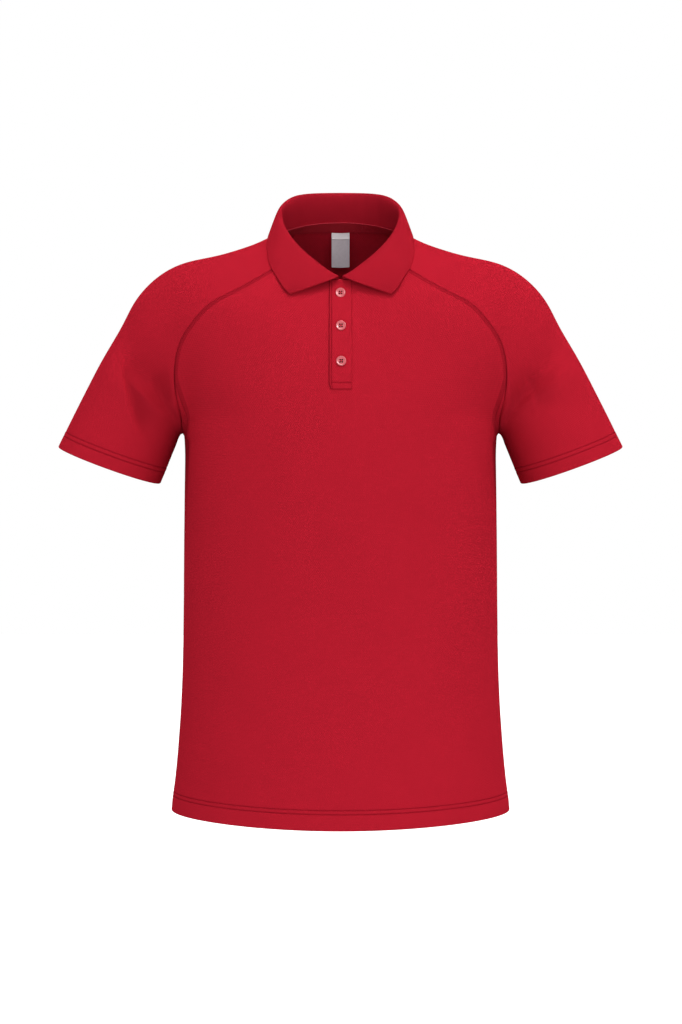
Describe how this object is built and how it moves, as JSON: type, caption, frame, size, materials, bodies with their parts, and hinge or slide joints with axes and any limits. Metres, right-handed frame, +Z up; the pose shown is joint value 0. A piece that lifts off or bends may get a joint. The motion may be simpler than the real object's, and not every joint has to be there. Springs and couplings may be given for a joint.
{
  "type": "polo shirt",
  "caption": "Short-sleeved raglan sports polo shirt in its worn form with no wearer: hollow, with a turned-down collar, a buttoned placket and open neck, cuffs and hem.",
  "frame": {"origin": "between the two neck-shoulder points, where the wearer's shoulders hold the shirt up", "axes": "+Z up, -Y out of the shirt's front, +X towards the wearer's left sleeve"},
  "size_m": [0.7162, 0.2699, 0.8007],
  "materials": {
    "jersey": "red polyester pique with a fine birdseye face and a soft sheen",
    "rib": "red flat-knit rib, matte",
    "tape": "red herringbone tape, matte",
    "label": "grey woven satin, bare",
    "button": "red translucent polyester resin, polished"
  },
  "bodies": {
    "root": {"front_body": "jersey", "back_body": "jersey", "sleeve_left": "jersey", "sleeve_right": "jersey", "collar": "rib", "neck_tape": "tape", "neck_label": "label", "placket_top": "jersey", "placket_under": "jersey", "button_1": "button", "button_2": "button", "button_3": "button"}
  },
  "joints": []
}
